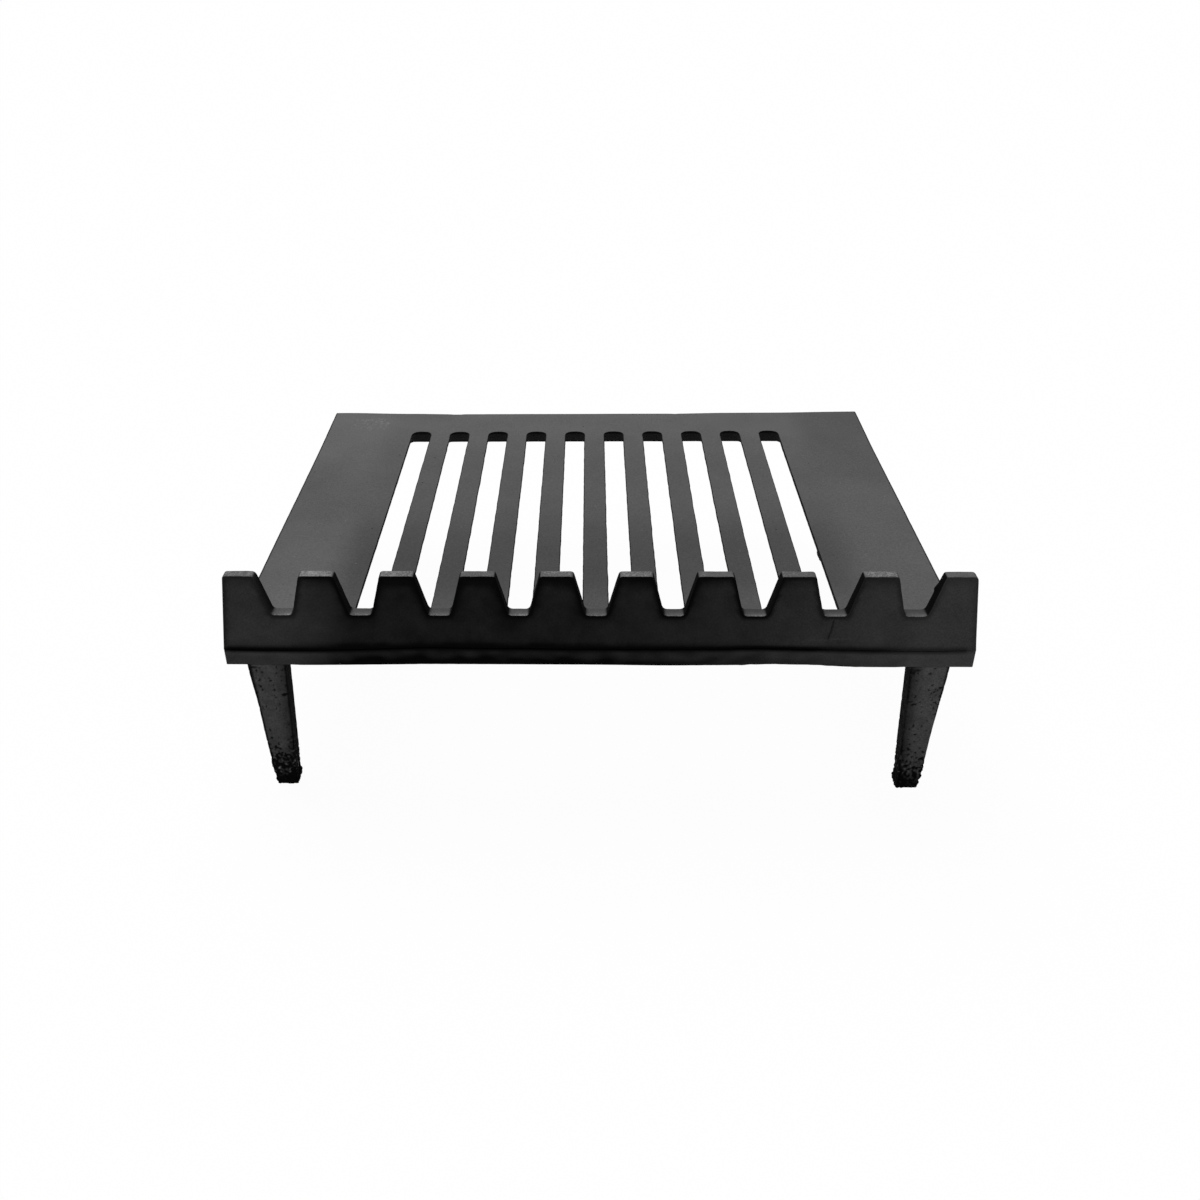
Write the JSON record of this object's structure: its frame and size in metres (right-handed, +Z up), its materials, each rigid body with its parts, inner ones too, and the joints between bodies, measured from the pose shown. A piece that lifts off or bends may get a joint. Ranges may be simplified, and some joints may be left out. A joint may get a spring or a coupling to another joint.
{
  "type": "log grate",
  "caption": "Cast-iron log grate: a flat bed with long round-ended slots on tapered legs, with an upright castellated fence along its front edge.",
  "frame": {"origin": "on the floor, under the middle of the bed", "axes": "+X to the right as seen from the front, +Y towards the rear, +Z up; the castellated fence stands along the -Y edge"},
  "size_m": [0.4, 0.326, 0.1405],
  "materials": {
    "bed_iron": "matt black stove paint over sand-cast iron, charcoal sheen on the flat top",
    "fence_iron": "matt black stove paint over sand-cast iron, rubbed paler along the tops of the teeth",
    "leg_iron": "matt black stove paint over rough, pitted sand-cast iron"
  },
  "bodies": {
    "root": {"slotted_bed": "bed_iron", "front_fence": "fence_iron", "leg_front_left": "leg_iron", "leg_front_right": "leg_iron", "leg_rear_left": "leg_iron", "leg_rear_right": "leg_iron"}
  },
  "joints": []
}
